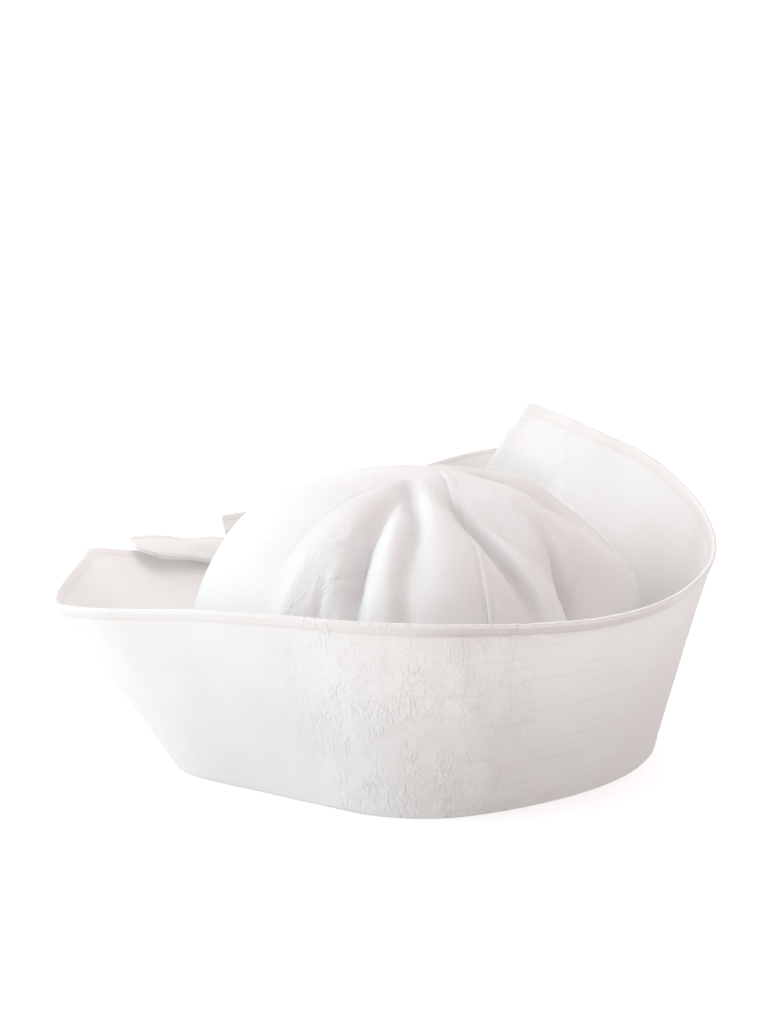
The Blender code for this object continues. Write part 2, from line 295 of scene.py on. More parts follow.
def wall_point(azimuth, up):
    """A point on the outside of the turned-up wall, from 0 at the fold to 1 at the rim."""
    slant = BRIM_SLANT * read_smoothly(BRIM, "slant", azimuth)
    lean = math.radians(read_smoothly(BRIM, "lean", azimuth))
    drift = BRIM_SLANT * read_smoothly(BRIM, "drift", azimuth)
    radius = fold_radius(azimuth) + slant * math.sin(lean) * up
    height = slant * math.cos(lean) * up
    pull = drift * up**DRIFT_POWER
    return outward(azimuth) * radius + sideways(azimuth) * pull + Vector((0, 0, height))


def wall_slope(azimuth, up):
    reach = 0.02
    return (wall_point(azimuth, up + reach) - wall_point(azimuth, up - reach)).normalized()


def wall_inward(azimuth, up):
    along = wall_point(azimuth + 1, up) - wall_point(azimuth - 1, up)
    return wall_slope(azimuth, up).cross(along).normalized()


print("the rim stands", round(wall_point(0, 1).z, 3), "m high at the front")

# %% [markdown]
# ### A section of the brim
#
# Each section is a row of points with a flat rounded fold at the foot, where the cap's weight rests.

# %% Points of one section
LEG_ROWS = 10
FOLD_ROWS = 5
BRIM_WALL_ROWS = 118
BRIM_COLUMNS = 330
FOLD_ROUND = 0.5


def brim_section(azimuth):
    """The outer skin at one azimuth, with each point's distance from the rim along the cloth."""
    out = outward(azimuth)
    base, inner, leg = fold_radius(azimuth), leg_radius(azimuth), leg_height(azimuth)
    slant = BRIM_SLANT * read_smoothly(BRIM, "slant", azimuth)
    section = []
    for k in range(LEG_ROWS):
        height = leg + (FOLD_EASE - leg) * k / (LEG_ROWS - 1)
        section.append((out * inner + Vector((0, 0, height)), slant + height))
    for k in range(1, FOLD_ROWS + 1):
        turn = math.pi * k / (FOLD_ROWS + 1)
        middle, half = (inner + base) / 2, (base - inner) / 2
        flat = math.copysign(abs(math.cos(turn)) ** FOLD_ROUND, math.cos(turn))
        drop = FOLD_EASE * (1 - abs(math.sin(turn)) ** FOLD_ROUND)
        section.append((out * (middle - half * flat) + Vector((0, 0, drop)), slant))
    first = FOLD_EASE / BRIM_SLANT
    for k in range(BRIM_WALL_ROWS + 1):
        up = first + (1 - first) * k / BRIM_WALL_ROWS
        section.append((wall_point(azimuth, up), slant * (1 - up)))
    return section


print(len(brim_section(0)), "points in a section")

# %% [markdown]
# ## The crown's surface
#
# Six gores of plain cotton puff up between their seams. A cloth simulation could inflate them, but
# with folds in other places. Here each gore runs from the apex over the shoulder and the belly to its
# seam on the brim's inner leg, and the folds dent it.


# %% Shape of the crown
def fold_dent(azimuth, down, folds):
    """How far the folds move the crown's skin inwards."""
    dent = 0.0
    for fold in folds:
        share = (down - fold.start) / (fold.end - fold.start)
        if not 0 < share < 1:
            continue
        centre = fold.foot + (fold.top - fold.foot) * (1 - share) ** fold.bend
        turn = math.radians((azimuth - centre + 180) % 360 - 180)
        off = turn * math.sin(min(down, 1) * math.pi / 2)
        width = fold.left if off < 0 else fold.right
        along = math.sin(math.pi * share ** (math.log(0.5) / math.log(fold.deepest))) ** FOLD_ENDS
        dent += fold.depth * FOLD_DEPTH * along * math.exp(-((off / width) ** 2))
    return dent


def crown_point(azimuth, down):
    """A point on the crown's skin: 0 is the apex, 1 the belly and 2 the seam on the brim's inner leg."""
    turn = (azimuth + 180) % 360 - 180
    belly = CROWN_RADIUS * read_smoothly(CROWN, "belly", turn)
    belly_height = BRIM_LEG + BELLY_RISE
    power = 2 / read_smoothly(CROWN, "roundness", turn)
    if down <= 1:
        angle = down * math.pi / 2
        radius = belly * math.sin(angle) ** power
        height = belly_height + CROWN_RISE * max(math.cos(angle), 0) ** power
    else:
        tuck = down - 1
        angle = math.pi / 2
        seam_radius = leg_radius(turn) + BRIM_WALL
        seam_height = leg_height(turn) + CROWN_SEAT_GAP
        radius = belly + (seam_radius - belly) * tuck**2
        height = belly_height + (seam_height - belly_height) * tuck
    inward = outward(azimuth) * -math.sin(angle) - Vector((0, 0, math.cos(angle)))
    shift = Vector((CROWN_SHIFT * max(1 - down, 0), 0, 0))
    skin = outward(azimuth) * radius + Vector((0, 0, height)) + shift
    across = ((azimuth - FIRST_SEAM) * GORES / 360) % 1
    swell = GORE_PUFF * (1 - (2 * across - 1) ** 2) * math.sin(math.pi * min(down, 1))
    dent = fold_dent(turn, down, FOLDS) + fold_dent(turn, down, CREASES)
    return skin + inward * (dent - swell) * (1 - max(down - 1, 0) ** 2)


print("the crown's apex is", round(crown_point(0, 0).z, 3), "m high")

# %% [markdown]
# ## Wrinkles
#
# Quilted or washed cotton is never smooth. Sculpting each wrinkle would take days. Ridged noise gives
# wrinkles of the right size, stretched along the cloth's pull, and it can move the surface itself.


# %% Ridges and soft bumps
RIDGE_FALL = 2.4
RIDGE_BEND = 0.8
Wrinkle = namedtuple("Wrinkle", "height size stretch turn seed")


def ridges(u, v, wrinkle):
    """Ridged wrinkles of height 1, stretched along a direction that is turned from down."""
    angle = math.radians(wrinkle.turn)
    along = (u * math.sin(angle) + v * math.cos(angle)) / (wrinkle.size * wrinkle.stretch)
    across = (u * math.cos(angle) - v * math.sin(angle)) / wrinkle.size
    bend = noise.noise(Vector((across * 0.5, along * 0.5, wrinkle.seed + 7))) * RIDGE_BEND
    return 1 - RIDGE_FALL * abs(noise.noise(Vector((across + bend, along - bend, wrinkle.seed))))


def soft(u, v, size, seed):
    """Smooth bumps of about this size."""
    return noise.noise(Vector((u / size, v / size, seed)))


def bell(value, width):
    """1 at zero, falling smoothly to both sides within the width."""
    return math.exp(-((value / width) ** 2))


print("a soft bump:", round(soft(0.01, 0.02, 0.03, 1.5), 3))

# %% [markdown]
# ### Wrinkles of the brim
#
# The quilting puckers the brim most in the middle of its front. To the right of it the stitched rows
# show, the wall turns in a soft edge, and the rim's hem has a join. Each is one height, and they add
# up. The wrinkles fade out at the fold, so that the cap still stands on the floor.

# %% Height of the brim's skin
CLOTH_ROUND = 0.62
HEM = 0.0052
HEM_RAISE = 0.00034
HEM_GROOVE = 0.0004
HEM_ROLL = 0.0002
HEM_ROLL_BY_ROWS = 0.0007
RIM_ROUND = 0.00035
END_HEM = 0.0060
PUCKER_STARTS = (-42, -8)
PUCKER_ENDS = (14, 34)
BACK_PUCKER = (125, 172)
LEAST_PUCKER = 0.1
ROWS_START = (-8, 8)
ROWS_END = (38, 62)
LEAST_ROWS = 0.2
BRIM_BUMPS = 0.00075
BRIM_BUMP_SIZE = 0.052
BRIM_PUCKERS = (Wrinkle(0.00030, 0.0085, 1.7, 34, 11.3), Wrinkle(0.00024, 0.0062, 1.6, -38, 23.9))
BRIM_CRINKLE = Wrinkle(0.00008, 0.0045, 1.3, 5, 31.7)
TURN_TOP = 4.0
TURN_FOOT = 16.0
TURN_RAISE = 0.0036
TURN_LEFT = 12
TURN_RIGHT = 9
TURN_SOFTNESS = 0.08
JOIN = 14.5
JOIN_RAISE = 0.0004
JOIN_GROOVE = 0.0003
JOIN_CRUMPLE = 0.0009


def crumple_of_brim(azimuth):
    """How strongly the brim is puckered: most in the middle of the front and near the back slit."""
    front = fade(azimuth, *PUCKER_STARTS) * (1 - fade(azimuth, *PUCKER_ENDS))
    back = fade(abs(azimuth), *BACK_PUCKER) * 0.5
    return LEAST_PUCKER + (1 - LEAST_PUCKER) * max(front, back)


def rows_of_brim(azimuth):
    """How clearly the quilting rows show, in relief and in painted shade: most to the right of the
    front's middle.
    """
    return LEAST_ROWS + (1 - LEAST_ROWS) * fade(azimuth, *ROWS_START) * (1 - fade(azimuth, *ROWS_END))


def hem_height(v, ends, rows):
    """The rim's and the ends' turned-in hems, with the groove of the rim's stitches."""
    hem = 1 - fade(v, HEM - 0.0005, HEM + 0.0004)
    end_hem = 1 - fade(ends, END_HEM - 0.0006, END_HEM + 0.0006)
    roll = (1 - v / HEM) * (HEM_ROLL + HEM_ROLL_BY_ROWS * rows) if v < HEM else 0.0
    height = HEM_RAISE * max(hem, end_hem) + roll
    height -= RIM_ROUND * (1 - fade(v, 0.0, 0.0011))
    return height - HEM_GROOVE * rows * bell(v - HEM - 0.0003, 0.0009)


def join_height(azimuth, u, v):
    """The join of the band: a raised line, a groove beside it and a crumpled patch at the rim."""
    join = (azimuth - JOIN) / 360 * CLOTH_ROUND
    height = JOIN_RAISE * bell(join, 0.0014) - JOIN_GROOVE * bell(join - 0.0028, 0.001)
    patch = bell(join - 0.009, 0.009) * soft(u, v, 0.0045, 5.5)
    return height + JOIN_CRUMPLE * patch * (1 - fade(v, 0.006, 0.016))


def brim_relief(azimuth, u, v, ends):
    """The height of the brim's outer skin over its plain shape. ends is the way to the nearer end."""
    pucker = crumple_of_brim(azimuth)
    up = 1 - v / BRIM_SLANT
    inside = fade(v, HEM, HEM + 0.006) * fade(up, 0.0, 0.08)
    height = hem_height(v, ends, rows_of_brim(azimuth))
    height += BRIM_BUMPS * soft(u, v, BRIM_BUMP_SIZE, 3.1) * inside
    for wrinkle in BRIM_PUCKERS:
        height += wrinkle.height * pucker * ridges(u, v, wrinkle) * inside
    height += BRIM_CRINKLE.height * ridges(u, v, BRIM_CRINKLE) * inside
    turn = azimuth - TURN_TOP - (TURN_FOOT - TURN_TOP) * (1 - up)
    crease = math.exp(-math.hypot(turn / (TURN_LEFT if turn < 0 else TURN_RIGHT), TURN_SOFTNESS))
    height += TURN_RAISE * crease * fade(up, 0.02, 0.25) * (1 - fade(up, 0.86, 0.97))
    return height + join_height(azimuth, u, v)


puckers = [round(crumple_of_brim(azimuth), 2) for azimuth in (0, -90)]
print("pucker at the front and at the left:", puckers)

# %% [markdown]
# ### Wrinkles of the crown
#
# The plain crown is crumpled most on the slope left of its deepest fold. Only its front seam shows
# plainly: one gore's edge lies over the other as a thin welt.

# %% Height of the crown's skin
WELT = 0.0028
WELT_RAISE = 0.0004
LEAST_SEAM = 0.12
SEAM_REACH = 20
LEAST_CRUMPLE = 0.15
CROWN_BUMPS = 0.0006
CROWN_PUCKERS = (Wrinkle(0.00036, 0.0085, 1.6, 28, 53.4), Wrinkle(0.00028, 0.0062, 1.5, -34, 61.8))
CROWN_CRINKLE = Wrinkle(0.00008, 0.0042, 1.3, 8, 71.1)


def crumple_of_crown(azimuth, down):
    """How strongly the crown's cotton is crumpled: most on the slope left of the deepest fold."""
    turn = (azimuth + 180) % 360 - 180
    slope = bell(turn + 29, 9) * fade(down, 0.28, 0.5)
    right = 0.35 * bell(turn - 48, 16)
    back = 0.25 * fade(abs(turn), 90, 130)
    return LEAST_CRUMPLE + (1 - LEAST_CRUMPLE) * max(slope, right, back)


def seams_of_crown(azimuth):
    """How clearly the seams show, in relief and in the painted shade of their grooves: the front one is
    crisp and the others are soft.
    """
    turn = (azimuth - FIRST_SEAM + 180) % 360 - 180
    return LEAST_SEAM + (1 - LEAST_SEAM) * bell(turn, SEAM_REACH)


def crown_relief(azimuth, u, v, seam, crumple):
    """The height of the crown's skin over its plain shape. seam is the way past the nearest seam."""
    away = fade(v, 0.004, 0.02)
    height = CROWN_BUMPS * soft(u, v, 0.03, 41.2) * away
    for wrinkle in CROWN_PUCKERS:
        height += wrinkle.height * crumple * ridges(u, v, wrinkle) * away
    height += CROWN_CRINKLE.height * ridges(u, v, CROWN_CRINKLE) * away
    welt = fade(seam, -0.0004, 0.0004) * (1 - fade(seam, WELT, WELT + 0.0008))
    groove = bell(seam + 0.0004, 0.0007)
    near = fade(v, 0.001, 0.006)
    return height + (WELT_RAISE * welt - WELT_RAISE * groove) * seams_of_crown(azimuth) * near


print("crumple left of the deepest fold:", round(crumple_of_crown(-29, 0.6), 2))

# %% [markdown]
# ## A cloth piece
#
# Each real piece is cut from a sheet. Here it starts as a grid, which keeps its faces even. Its points
# are set to the skin's shape and raised by the relief along their normals, and a Solidify modifier
# gives the thickness on the inner side. A UV map keeps the cloth coordinates in metres, and two
# attributes tell the material where the cloth is crumpled and where its rows of stitches show, in
# relief and with their painted shade.


# %% Make a piece of cloth
PLAIN_THICKNESS = 0.7


def add_object(name, data):
    thing = bpy.data.objects.new(name, data)
    bpy.context.scene.collection.objects.link(thing)
    return thing


def make_cloth(name, points, cloth, relief, crumple, rows_shown, wall, thick=None):
    """A piece from arrays of rows by columns: skin points, cloth coordinates, heights and marks."""
    rows, columns = points.shape[0] - 1, points.shape[1] - 1
    normal = np.cross(np.gradient(points, axis=1), np.gradient(points, axis=0))
    normal /= np.maximum(np.linalg.norm(normal, axis=2, keepdims=True), 1e-12)
    skin = points + normal * relief[..., None]
    grid = bmesh.new()
    bmesh.ops.create_grid(grid, x_segments=columns, y_segments=rows, size=0.5)
    uv = grid.loops.layers.uv.new("Cloth")
    rough = grid.verts.layers.float.new("Crumple")
    shown = grid.verts.layers.float.new("Rows")
    weight = grid.verts.layers.deform.verify()
    place = {}
    for vertex in grid.verts:
        across = round((vertex.co.x + 0.5) * columns)
        along = round((vertex.co.y + 0.5) * rows)
        place[vertex] = (along, across)
        vertex.co = skin[along, across]
        vertex[rough] = crumple[along, across]
        vertex[shown] = rows_shown[along, across]
        if thick is not None:
            vertex[weight][0] = thick[along, across]
    for face in grid.faces:
        for loop in face.loops:
            loop[uv].uv = cloth[place[loop.vert]]
    mesh = bpy.data.meshes.new(name)
    grid.to_mesh(mesh)
    grid.free()
    mesh.shade_smooth()
    piece = add_object(name, mesh)
    solidify = piece.modifiers.new("Wall", "SOLIDIFY")
    solidify.thickness = wall
    solidify.offset = -1
    solidify.use_even_offset = False
    if thick is not None:
        piece.vertex_groups.new(name="Hem")
        solidify.vertex_group = "Hem"
        solidify.thickness_vertex_group = PLAIN_THICKNESS
    return piece


print("plain cloth has", PLAIN_THICKNESS, "of the thickness of a hem")

# %% [markdown]
# ### Sharp seams
#
# Where two gores meet, smooth shading would draw a dark line over the cut edge. The gores' walls are
# therefore applied, and edges that turn by a large angle are marked sharp.


# %% Sharpen the cut edges
SHARP_EDGE = 50.0


def sharpen_edges(piece):
    """Applies the wall and makes its cut edges sharp, so that no seam is shaded round."""
    graph = bpy.context.evaluated_depsgraph_get()
    wall = piece.evaluated_get(graph)
    piece.data = bpy.data.meshes.new_from_object(wall, preserve_all_data_layers=True, depsgraph=graph)
    piece.modifiers.clear()
    piece.data.set_sharp_from_angle(angle=math.radians(SHARP_EDGE))


print("edges over", SHARP_EDGE, "degrees are sharp")

# %% [markdown]
# ## Where the cap stands
#
# The shapes are measured from the crown's axis. The solid brim's box tells where that axis is.

# %% Find the crown's axis
half_slit = math.degrees(SLIT_WIDTH / 2 / fold_radius(180))
round_brim = 360 - 2 * half_slit
brim_azimuths = [-180 + half_slit + round_brim * k / BRIM_COLUMNS for k in range(BRIM_COLUMNS + 1)]
sections = [brim_section(azimuth) for azimuth in brim_azimuths]
brim_points = np.array([[tuple(point) for point, _ in section] for section in sections])
brim_points = brim_points.transpose(1, 0, 2)
brim_down = np.array([[down for _, down in section] for section in sections]).T
own_middle = (brim_points.min(axis=(0, 1)) + brim_points.max(axis=(0, 1))) / 2
box_low, box_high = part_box("brim")
axis_x = (box_low.x + box_high.x) / 2 - own_middle[0]
axis_y = (box_low.y + box_high.y) / 2 - own_middle[1]
AXIS = np.array([axis_x, axis_y, 0])
print("crown axis at", AXIS)

# %% [markdown]
# ## The brim
#
# The brim is one piece of cloth with a hem at the rim and at both ends. A hem is the cloth folded over,
# so it is thicker there. A vertex group tells the Solidify modifier where.

# %% Make the brim
brim_u = np.array(brim_azimuths) / 360 * CLOTH_ROUND
brim_ends = np.minimum(brim_u - brim_u[0], brim_u[-1] - brim_u)
brim_cloth = np.stack([np.broadcast_to(brim_u, brim_down.shape), brim_down], axis=2)
brim_height = np.array(
    [
        [brim_relief(brim_azimuths[k], brim_u[k], down, brim_ends[k]) for k, down in enumerate(row)]
        for row in brim_down
    ]
)
brim_height[: LEG_ROWS + FOLD_ROWS] = 0
brim_crumple = np.broadcast_to([crumple_of_brim(a) for a in brim_azimuths], brim_down.shape)
brim_rows = np.broadcast_to([rows_of_brim(a) for a in brim_azimuths], brim_down.shape)
hem_part = np.clip((HEM + 0.0004 - brim_down) / 0.0008, 0, 1) * np.clip(brim_down / 0.001 + 0.35, 0, 1)
end_part = np.broadcast_to(np.clip((END_HEM - brim_ends) / 0.001, 0, 1), brim_down.shape)
brim = make_cloth(
    "cap_brim",
    brim_points + AXIS,
    brim_cloth,
    brim_height,
    brim_crumple,
    brim_rows,
    BRIM_WALL,
    np.maximum(hem_part, end_part),
)
print("brim", len(brim.data.polygons), "faces")

# %% [markdown]
# ## The six gores
#
# Each gore is a piece of its own, as it is cut and sewn. Its cloth coordinates run across from its
# first seam and down from the apex, which puts the welt and its stitches beside the seam.

# %% Make the gores
GORE_COLUMNS = 108
GORE_ROWS = 96
TUCK_ROWS = 12
TUCK_RELIEF = 0.3
APEX_HOLE = 0.0008
CROWN_LENGTH = 1.45
CROWN_ROUND = 0.8

gores = []
downs = [APEX_HOLE + (1 - APEX_HOLE) * k / GORE_ROWS for k in range(GORE_ROWS + 1)]
downs += [1 + (k + 1) / TUCK_ROWS for k in range(TUCK_ROWS)]
downs.reverse()
for index in range(GORES):
    first_azimuth = FIRST_SEAM + index * 360 / GORES
    azimuths = [first_azimuth + 360 / GORES * k / GORE_COLUMNS for k in range(GORE_COLUMNS + 1)]
    points = np.array([[tuple(crown_point(a, down)) for a in azimuths] for down in downs])
    cloth = np.zeros(points.shape[:2] + (2,))
    height = np.zeros(points.shape[:2])
    crumple = np.zeros(points.shape[:2])
    for j, down in enumerate(downs):
        girth = CROWN_RADIUS * math.sin(min(down, 1) * math.pi / 2)
        length = down * CROWN_RADIUS * CROWN_LENGTH
        for k, azimuth in enumerate(azimuths):
            way = math.radians(azimuth - first_azimuth) * girth
            back = way - math.radians(360 / GORES) * girth
            seam = way if way < -back else back
            around = math.radians(azimuth) * CROWN_RADIUS * CROWN_ROUND
            cloth[j, k] = (way, length)
            crumple[j, k] = crumple_of_crown(azimuth, down)
            height[j, k] = crown_relief(azimuth, around, length, seam, crumple[j, k])
    height[:TUCK_ROWS] *= TUCK_RELIEF
    clear = np.broadcast_to([seams_of_crown(a) for a in azimuths], crumple.shape)
    gore = make_cloth(f"cap_gore_{index + 1}", points + AXIS, cloth, height, crumple, clear, CROWN_WALL)
    sharpen_edges(gore)
    gores.append(gore)
print(len(gores), "gores of", len(gores[0].data.polygons), "faces")

# %% [markdown]
# ## The ties
#
# Each tie is a flat cotton tape, cut to a point at its free end. A curve with a flat bevel could make
# it, but a tape spanned between three curves, at its edges and middle, also turns over as it should.


# %% Shape of a tie
TIE_LONG = 90
TIE_ACROSS = 10
TIE_HEM_RAISE = 0.0003
TIE_WAVE = 0.0016
TIE_WAVE_SIZE = 0.016


def tie_length(middle_edge):
    steps = [curve_through(middle_edge, k / TIE_LONG) for k in range(TIE_LONG + 1)]
    return sum((after - before).length for before, after in zip(steps, steps[1:]))


def make_tie(name, edges, tip, seed):
    """A tape through the points of its three edges. Edge number tip, 0 to 2, has the free end's tip."""
    points = np.zeros((TIE_ACROSS + 1, TIE_LONG + 1, 3))
    cloth = np.zeros((TIE_ACROSS + 1, TIE_LONG + 1, 2))
    height = np.zeros((TIE_ACROSS + 1, TIE_LONG + 1))
    length = tie_length(edges[1])
    for k in range(TIE_LONG + 1):
        for j in range(TIE_ACROSS + 1):
            side = 2 * j / TIE_ACROSS
            cut = TIE_TAPER * (abs(side - tip) / max(tip, 2 - tip)) ** TIE_ROUND
            spot = k / TIE_LONG * (length - cut) / length
            low, middle, high = (curve_through(edge, spot) for edge in edges)
            points[j, k] = low.lerp(middle, side) if side < 1 else middle.lerp(high, side - 1)
            cloth[j, k] = (spot * length, side / 2 * TIE_WIDTH)
            edge_way = min(side, 2 - side) / 2 * TIE_WIDTH
            free = fade(spot, 0.25, 0.5)
            height[j, k] = TIE_HEM_RAISE * (1 - fade(edge_way, 0.002, 0.003))
            height[j, k] += TIE_WAVE * free * soft(spot * length, side * 0.01, TIE_WAVE_SIZE, seed)
    half = np.full(height.shape, 0.5)
    return make_cloth(name, points + AXIS, cloth, height, half, half, TIE_WALL)


print("a tie has", TIE_LONG * TIE_ACROSS, "faces on its outer side")

# %% [markdown]
# ### Courses of the two ties
#
# The left tie lies inside the brim's left end and tips over the rim. The right tie is sewn outside the
# right end and then runs behind the crown. Both keep a small gap to the brim.

# %% Make the ties
left_edges = ([], [], [])
rise = math.radians(LEFT_TIE_RISE)
for row in LEFT_TIE:
    flat = outward(row.azimuth) * math.cos(rise) + Vector((0, 0, math.sin(rise)))
    across = wall_slope(row.azimuth, 1).lerp(flat, row.turn).normalized()
    off = BRIM_WALL + TIE_SEAT_GAP + row.lift * TIE_WIDTH
    centre = wall_point(row.azimuth, row.up) + wall_inward(row.azimuth, 1) * off
    for side, edge in enumerate(left_edges):
        edge.append(centre + across * (side - 1) * TIE_WIDTH / 2)

right_edges = ([], [], [])
for row in RIGHT_TIE_SEAT:
    slant = BRIM_SLANT * read_smoothly(BRIM, "slant", row.azimuth)
    for side, edge in enumerate(right_edges):
        up = row.up + (side - 1) * TIE_WIDTH / 2 / slant
        off = TIE_SEAT_GAP + TIE_WALL
        edge.append(wall_point(row.azimuth, up) - wall_inward(row.azimuth, up) * off)
for row in RIGHT_TIE:
    centre = outward(row.azimuth) * row.out * BASE_RADIUS + Vector((0, 0, row.height * BRIM_SLANT))
    for side, edge in enumerate(right_edges):
        edge.append(centre + Vector((0, 0, (side - 1) * TIE_WIDTH / 2)))

tie_left = make_tie("cap_tie_left", left_edges, 1, 81.5)
tie_right = make_tie("cap_tie_right", right_edges, 2, 91.5)
left_length, right_length = tie_length(left_edges[1]), tie_length(right_edges[1])
print("ties", round(left_length, 3), "and", round(right_length, 3), "m long")

# %% [markdown]
# ## Shader helpers
#
# The finest marks of cotton are too small for a mesh. They could be painted, but nodes stay sharp at
# any distance. Each effect is a node group that gives only a height, a mask or a colour.


# %% Node helpers
def new_group(name, inputs, outputs):
    """A shader node group with float, vector or colour sockets, and its input and output nodes."""
    tree = bpy.data.node_groups.new(name, "ShaderNodeTree")
    for label, kind, value in inputs:
        socket = tree.interface.new_socket(label, in_out="INPUT", socket_type=kind)
        if value is not None:
            socket.default_value = value
    for label, kind in outputs:
        tree.interface.new_socket(label, in_out="OUTPUT", socket_type=kind)
    return tree, tree.nodes.new("NodeGroupInput"), tree.nodes.new("NodeGroupOutput")


def math_node(tree, operation, *values, clamp=False):
    """A Math node. Each value is a number or a socket."""
    node = tree.nodes.new("ShaderNodeMath")
    node.operation = operation
    node.use_clamp = clamp
    for k, value in enumerate(values):
        if isinstance(value, (int, float)):
            node.inputs[k].default_value = value
        else:
            tree.links.new(value, node.inputs[k])
    return node.outputs[0]


def times(tree, first, second, clamp=False):
    return math_node(tree, "MULTIPLY", first, second, clamp=clamp)


def minus(tree, first, second):
    return math_node(tree, "SUBTRACT", first, second)


def set_inputs(node, values):
    for label, value in values.items():
        node.inputs[label].default_value = value


def noise_node(tree, vector, scale, detail=2.0, roughness=0.5, distortion=0.0):
    node = tree.nodes.new("ShaderNodeTexNoise")
    values = {"Scale": scale, "Detail": detail, "Roughness": roughness, "Distortion": distortion}
    set_inputs(node, values)
    tree.links.new(vector, node.inputs["Vector"])
    return node.outputs["Fac"]


def smooth_step(tree, value, low, high):
    node = tree.nodes.new("ShaderNodeMapRange")
    node.interpolation_type = "SMOOTHSTEP"
    set_inputs(node, {"From Min": low, "From Max": high})
    tree.links.new(value, node.inputs["Value"])
    return node.outputs["Result"]


def stretched(tree, vector, turn, scale):
    """A vector turned in the cloth and scaled, for noise that is longer one way."""
    node = tree.nodes.new("ShaderNodeMapping")
    set_inputs(node, {"Rotation": (0, 0, math.radians(turn)), "Scale": scale})
    tree.links.new(vector, node.inputs["Vector"])
    return node.outputs["Vector"]


print("shader helpers are ready")

# %% [markdown]
# ### Weave
#
# Cotton is woven of crossed threads. Two crossed sine waves give them, and noise gives the uneven slubs
# of the yarn.


# %% Weave
THREAD_PITCH = 0.00045


def make_weave_group():
    tree, start, end = new_group(
        "CottonWeave",
        [("Cloth", "NodeSocketVector", None), ("Pitch", "NodeSocketFloat", THREAD_PITCH)],
        [("Height", "NodeSocketFloat")],
    )
    parts = tree.nodes.new("ShaderNodeSeparateXYZ")
    tree.links.new(start.outputs["Cloth"], parts.inputs[0])
    turn = math_node(tree, "DIVIDE", 2 * math.pi, start.outputs["Pitch"])
    warp = math_node(tree, "SINE", times(tree, parts.outputs["X"], turn))
    weft = math_node(tree, "SINE", times(tree, parts.outputs["Y"], turn))
    threads = times(tree, times(tree, warp, weft), 0.5)
    slub = noise_node(tree, start.outputs["Cloth"], 900, 2)
    tree.links.new(math_node(tree, "ADD", threads, slub), end.inputs["Height"])
    return tree


WEAVE = make_weave_group()
print("node group:", WEAVE.name)

# %% [markdown]
# ### Crinkle
#
# Washed cotton has short slanting ridges in patches. Noise passes its middle value along such lines.
# It is stretched in three directions and shown only where a coarser noise is high.


# %% Crinkle
CrinkleRow = namedtuple("CrinkleRow", "turn scale weight")
CRINKLES = (CrinkleRow(42, 330, 1.0), CrinkleRow(-38, 290, 0.9), CrinkleRow(8, 420, 0.5))
CRINKLE_STRETCH = 0.42
PATCH_SCALE = 0.28


def make_crinkle_group():
    tree, start, end = new_group(
        "CottonCrinkle", [("Cloth", "NodeSocketVector", None)], [("Height", "NodeSocketFloat")]
    )
    total = None
    for row in CRINKLES:
        moved = stretched(tree, start.outputs["Cloth"], row.turn, (1.0, CRINKLE_STRETCH, 1.0))
        value = noise_node(tree, moved, row.scale, 1.5, 0.4, 0.5)
        off = math_node(tree, "ABSOLUTE", minus(tree, value, 0.5))
        ridge = minus(tree, 1.0, smooth_step(tree, off, 0.0, 0.11))
        patch = smooth_step(tree, noise_node(tree, moved, row.scale * PATCH_SCALE, 1.0), 0.40, 0.62)
        ridge = times(tree, times(tree, ridge, patch), row.weight)
        total = ridge if total is None else math_node(tree, "ADD", total, ridge)
    tree.links.new(total, end.inputs["Height"])
    return tree


CRINKLE = make_crinkle_group()
print("node group:", CRINKLE.name)

# %% [markdown]
# ### Stitches
#
# Stitches pull the cloth into a shallow groove, with short threads lying in it. One group makes both
# for the hem, the quilting and the seams.


# %% Rows of stitches
QUILT_STITCH = 0.0026
SEAM_STITCH = 0.0024


def make_stitch_group():
    """Way is the signed distance from the row and Along the way on it."""
    tree, start, end = new_group(
        "StitchRow",
        [
            ("Way", "NodeSocketFloat", 0.0),
            ("Along", "NodeSocketFloat", 0.0),
            ("Length", "NodeSocketFloat", QUILT_STITCH),
        ],
        [("Groove", "NodeSocketFloat"), ("Thread", "NodeSocketFloat")],
    )
    way = math_node(tree, "ABSOLUTE", start.outputs["Way"])
    groove = minus(tree, 1.0, smooth_step(tree, way, 0.0001, 0.0011))
    stitches = math_node(tree, "DIVIDE", start.outputs["Along"], start.outputs["Length"])
    phase = math_node(tree, "FRACT", stitches)
    middle = math_node(tree, "ABSOLUTE", minus(tree, phase, 0.5))
    dash = minus(tree, 1.0, smooth_step(tree, middle, 0.30, 0.40))
    line = minus(tree, 1.0, smooth_step(tree, way, 0.00015, 0.00034))
    tree.links.new(groove, end.inputs["Groove"])
    tree.links.new(times(tree, dash, line), end.inputs["Thread"])
    return tree


STITCH = make_stitch_group()
print("node group:", STITCH.name)

# %% [markdown]
# ### Slow changes of colour
#
# White cotton is never one white. Slow noise mixes two whites, with a little fine noise for the fibres.


# %% Tone
def make_tone_group():
    tree, start, end = new_group(
        "CottonTone",
        [
            ("Place", "NodeSocketVector", None),
            ("Light", "NodeSocketColor", (0.9, 0.9, 0.9, 1)),
            ("Deep", "NodeSocketColor", (0.86, 0.85, 0.84, 1)),
        ],
        [("Color", "NodeSocketColor")],
    )
    slow = smooth_step(tree, noise_node(tree, start.outputs["Place"], 22, 3, 0.6), 0.35, 0.7)
    fine = times(tree, noise_node(tree, start.outputs["Place"], 420, 2, 0.6), 0.35)
    share = times(tree, math_node(tree, "ADD", slow, fine), 0.75, clamp=True)
    mix = tree.nodes.new("ShaderNodeMix")
    mix.data_type = "RGBA"
    tree.links.new(share, mix.inputs["Factor"])
    tree.links.new(start.outputs["Light"], mix.inputs["A"])
    tree.links.new(start.outputs["Deep"], mix.inputs["B"])
    tree.links.new(mix.outputs["Result"], end.inputs["Color"])
    return tree


TONE = make_tone_group()
print("node group:", TONE.name)

